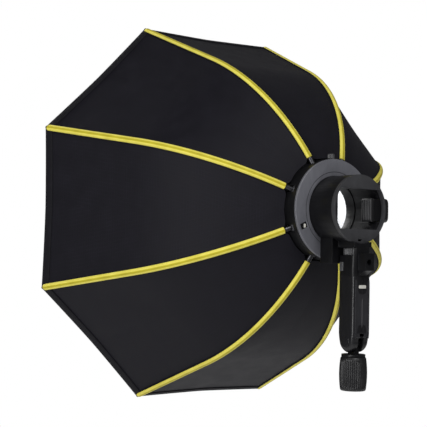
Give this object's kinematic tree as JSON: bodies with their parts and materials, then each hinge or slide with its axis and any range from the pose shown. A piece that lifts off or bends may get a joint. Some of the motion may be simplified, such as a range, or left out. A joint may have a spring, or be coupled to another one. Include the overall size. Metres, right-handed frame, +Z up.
{
  "type": "octabox",
  "caption": "Folding octagonal softbox, open at the front, on a flash bracket with a tilting grip handle and a stand socket.",
  "frame": {"origin": "centre of the stand socket's mouth, at the bottom of the locking collar", "axes": "+Z up the handle, light leaves along -Y, +X is to the right of a viewer who looks along +Y"},
  "size_m": [0.5724, 0.3883, 0.5724],
  "materials": {
    "moulded_black": "fine moulded grain",
    "grey_plastic": "satin moulded grey",
    "grip_rubber": "ribbed soft rubber",
    "steel_pin": "plain pins and screws",
    "rib_rod": "drawn rod",
    "black_nylon": "coated black nylon, plain weave",
    "yellow_tape": "woven yellow binding tape",
    "pale_catch": "pale moulded catch"
  },
  "bodies": {
    "stand": {"stand_stem": "moulded_black"},
    "collar": {"lock_collar": "grip_rubber"},
    "handle": {"tilt_pin": "steel_pin", "handle_left": "moulded_black", "handle_right": "moulded_black", "handle_screws": "steel_pin", "head_block": "moulded_black", "neck_block": "moulded_black", "barrel": "grey_plastic", "flange_ring": "grey_plastic", "flange_catch": "pale_catch", "rear_plate": "grey_plastic", "fixed_pad": "grip_rubber"},
    "thumb_wheel": {"thumb_wheel": "grey_plastic"},
    "release_button": {"release_button": "grey_plastic"},
    "jaw": {"clamp_jaw": "moulded_black", "jaw_pad": "grip_rubber"},
    "hub": {"hub_ring": "moulded_black", "hinge_pins": "steel_pin"},
    "lock_screw": {"lock_screw": "moulded_black"},
    "rib_1": {"rib_1": "rib_rod", "rib_sleeve_1": "yellow_tape"},
    "rib_2": {"rib_2": "rib_rod", "rib_sleeve_2": "yellow_tape"},
    "rib_3": {"rib_3": "rib_rod", "rib_sleeve_3": "yellow_tape"},
    "rib_4": {"rib_4": "rib_rod", "rib_sleeve_4": "yellow_tape"},
    "rib_5": {"rib_5": "rib_rod", "rib_sleeve_5": "yellow_tape"},
    "rib_6": {"rib_6": "rib_rod", "rib_sleeve_6": "yellow_tape"},
    "rib_7": {"rib_7": "rib_rod", "rib_sleeve_7": "yellow_tape"},
    "rib_8": {"rib_8": "rib_rod", "rib_sleeve_8": "yellow_tape"},
    "cloth_1_left": {"panel_1_left": "black_nylon"},
    "cloth_1_right": {"panel_1_right": "black_nylon"},
    "cloth_2_left": {"panel_2_left": "black_nylon"},
    "cloth_2_right": {"panel_2_right": "black_nylon"},
    "cloth_3_left": {"panel_3_left": "black_nylon"},
    "cloth_3_right": {"panel_3_right": "black_nylon"},
    "cloth_4_left": {"panel_4_left": "black_nylon"},
    "cloth_4_right": {"panel_4_right": "black_nylon"},
    "cloth_5_left": {"panel_5_left": "black_nylon"},
    "cloth_5_right": {"panel_5_right": "black_nylon"},
    "cloth_6_left": {"panel_6_left": "black_nylon"},
    "cloth_6_right": {"panel_6_right": "black_nylon"},
    "cloth_7_left": {"panel_7_left": "black_nylon"},
    "cloth_7_right": {"panel_7_right": "black_nylon"},
    "cloth_8_left": {"panel_8_left": "black_nylon"},
    "cloth_8_right": {"panel_8_right": "black_nylon"}
  },
  "joints": [
    {"name": "collar_turn", "type": "hinge", "parent": "stand", "child": "collar", "pos_m": [0, 0, 0], "axis": [0, 0, 1], "range_deg": [0, 60]},
    {"name": "handle_tilt", "type": "hinge", "parent": "stand", "child": "handle", "pos_m": [0, 0, 0.065], "axis": [1, 0, 0], "range_deg": [-45, 80]},
    {"name": "wheel_turn", "type": "hinge", "parent": "handle", "child": "thumb_wheel", "pos_m": [0, -0.0014, 0.18], "axis": [0, 0, 1], "range_deg": [-360, 360]},
    {"name": "button_press", "type": "slide", "parent": "handle", "child": "release_button", "axis": [-1, 0, 0], "range_m": [0, 0.0015], "stiffness_N_per_m": 400, "springref_m": -0.002},
    {"name": "jaw_slide", "type": "slide", "parent": "handle", "child": "jaw", "axis": [1, 0, 0], "range_m": [-0.005, 0.01]},
    {"name": "hub_turn", "type": "hinge", "parent": "handle", "child": "hub", "pos_m": [0, -0.054, 0.242], "axis": [0, 1, 0], "continuous": true},
    {"name": "lock_turn", "type": "hinge", "parent": "hub", "child": "lock_screw", "pos_m": [0, -0.051, 0.242], "axis": [0, 0, 1], "range_deg": [-360, 360]},
    {"name": "rib_fold_1", "type": "hinge", "parent": "hub", "child": "rib_1", "pos_m": [0.02449, -0.0577, 0.30113], "axis": [0.9239, 0, -0.3827], "range_deg": [0, 38], "deforming": ["panel_1_left", "panel_1_right", "panel_2_left", "panel_2_right", "panel_3_left", "panel_3_right", "panel_4_left", "panel_4_right", "panel_5_left", "panel_5_right", "panel_6_left", "panel_6_right", "panel_7_left", "panel_7_right", "panel_8_left", "panel_8_right"]},
    {"name": "rib_fold_2", "type": "hinge", "parent": "hub", "child": "rib_2", "pos_m": [0.05913, -0.0577, 0.26649], "axis": [0.3827, 0, -0.9239], "range_deg": [0, 38]},
    {"name": "rib_fold_3", "type": "hinge", "parent": "hub", "child": "rib_3", "pos_m": [0.05913, -0.0577, 0.21751], "axis": [-0.3827, 0, -0.9239], "range_deg": [0, 38]},
    {"name": "rib_fold_4", "type": "hinge", "parent": "hub", "child": "rib_4", "pos_m": [0.02449, -0.0577, 0.18287], "axis": [-0.9239, 0, -0.3827], "range_deg": [0, 38]},
    {"name": "rib_fold_5", "type": "hinge", "parent": "hub", "child": "rib_5", "pos_m": [-0.02449, -0.0577, 0.18287], "axis": [-0.9239, 0, 0.3827], "range_deg": [0, 38]},
    {"name": "rib_fold_6", "type": "hinge", "parent": "hub", "child": "rib_6", "pos_m": [-0.05913, -0.0577, 0.21751], "axis": [-0.3827, 0, 0.9239], "range_deg": [0, 38]},
    {"name": "rib_fold_7", "type": "hinge", "parent": "hub", "child": "rib_7", "pos_m": [-0.05913, -0.0577, 0.26649], "axis": [0.3827, 0, 0.9239], "range_deg": [0, 38]},
    {"name": "rib_fold_8", "type": "hinge", "parent": "hub", "child": "rib_8", "pos_m": [-0.02449, -0.0577, 0.30113], "axis": [0.9239, 0, 0.3827], "range_deg": [0, 38]},
    {"name": "gather_1_left", "type": "slide", "parent": "rib_1", "child": "cloth_1_left", "axis": [0.9239, 0, -0.3827], "range_m": [0, 0.096]},
    {"name": "gather_1_right", "type": "slide", "parent": "rib_1", "child": "cloth_1_right", "axis": [-0.9239, 0, 0.3827], "range_m": [0, 0.096]},
    {"name": "gather_2_left", "type": "slide", "parent": "rib_2", "child": "cloth_2_left", "axis": [0.3827, 0, -0.9239], "range_m": [0, 0.096]},
    {"name": "gather_2_right", "type": "slide", "parent": "rib_2", "child": "cloth_2_right", "axis": [-0.3827, 0, 0.9239], "range_m": [0, 0.096]},
    {"name": "gather_3_left", "type": "slide", "parent": "rib_3", "child": "cloth_3_left", "axis": [-0.3827, 0, -0.9239], "range_m": [0, 0.096]},
    {"name": "gather_3_right", "type": "slide", "parent": "rib_3", "child": "cloth_3_right", "axis": [0.3827, 0, 0.9239], "range_m": [0, 0.096]},
    {"name": "gather_4_left", "type": "slide", "parent": "rib_4", "child": "cloth_4_left", "axis": [-0.9239, 0, -0.3827], "range_m": [0, 0.096]},
    {"name": "gather_4_right", "type": "slide", "parent": "rib_4", "child": "cloth_4_right", "axis": [0.9239, 0, 0.3827], "range_m": [0, 0.096]},
    {"name": "gather_5_left", "type": "slide", "parent": "rib_5", "child": "cloth_5_left", "axis": [-0.9239, 0, 0.3827], "range_m": [0, 0.096]},
    {"name": "gather_5_right", "type": "slide", "parent": "rib_5", "child": "cloth_5_right", "axis": [0.9239, 0, -0.3827], "range_m": [0, 0.096]},
    {"name": "gather_6_left", "type": "slide", "parent": "rib_6", "child": "cloth_6_left", "axis": [-0.3827, 0, 0.9239], "range_m": [0, 0.096]},
    {"name": "gather_6_right", "type": "slide", "parent": "rib_6", "child": "cloth_6_right", "axis": [0.3827, 0, -0.9239], "range_m": [0, 0.096]},
    {"name": "gather_7_left", "type": "slide", "parent": "rib_7", "child": "cloth_7_left", "axis": [0.3827, 0, 0.9239], "range_m": [0, 0.096]},
    {"name": "gather_7_right", "type": "slide", "parent": "rib_7", "child": "cloth_7_right", "axis": [-0.3827, 0, -0.9239], "range_m": [0, 0.096]},
    {"name": "gather_8_left", "type": "slide", "parent": "rib_8", "child": "cloth_8_left", "axis": [0.9239, 0, 0.3827], "range_m": [0, 0.096]},
    {"name": "gather_8_right", "type": "slide", "parent": "rib_8", "child": "cloth_8_right", "axis": [-0.9239, 0, -0.3827], "range_m": [0, 0.096]}
  ],
  "couplings": [
    {"joint": "rib_fold_2", "follows": "rib_fold_1", "ratio": 1},
    {"joint": "rib_fold_3", "follows": "rib_fold_1", "ratio": 1},
    {"joint": "rib_fold_4", "follows": "rib_fold_1", "ratio": 1},
    {"joint": "rib_fold_5", "follows": "rib_fold_1", "ratio": 1},
    {"joint": "rib_fold_6", "follows": "rib_fold_1", "ratio": 1},
    {"joint": "rib_fold_7", "follows": "rib_fold_1", "ratio": 1},
    {"joint": "rib_fold_8", "follows": "rib_fold_1", "ratio": 1},
    {"joint": "gather_1_left", "follows": "rib_fold_1", "m_per_rad": 0.14173},
    {"joint": "gather_1_right", "follows": "rib_fold_1", "m_per_rad": 0.14173},
    {"joint": "gather_2_left", "follows": "rib_fold_1", "m_per_rad": 0.14173},
    {"joint": "gather_2_right", "follows": "rib_fold_1", "m_per_rad": 0.14173},
    {"joint": "gather_3_left", "follows": "rib_fold_1", "m_per_rad": 0.14173},
    {"joint": "gather_3_right", "follows": "rib_fold_1", "m_per_rad": 0.14173},
    {"joint": "gather_4_left", "follows": "rib_fold_1", "m_per_rad": 0.14173},
    {"joint": "gather_4_right", "follows": "rib_fold_1", "m_per_rad": 0.14173},
    {"joint": "gather_5_left", "follows": "rib_fold_1", "m_per_rad": 0.14173},
    {"joint": "gather_5_right", "follows": "rib_fold_1", "m_per_rad": 0.14173},
    {"joint": "gather_6_left", "follows": "rib_fold_1", "m_per_rad": 0.14173},
    {"joint": "gather_6_right", "follows": "rib_fold_1", "m_per_rad": 0.14173},
    {"joint": "gather_7_left", "follows": "rib_fold_1", "m_per_rad": 0.14173},
    {"joint": "gather_7_right", "follows": "rib_fold_1", "m_per_rad": 0.14173},
    {"joint": "gather_8_left", "follows": "rib_fold_1", "m_per_rad": 0.14173},
    {"joint": "gather_8_right", "follows": "rib_fold_1", "m_per_rad": 0.14173}
  ]
}
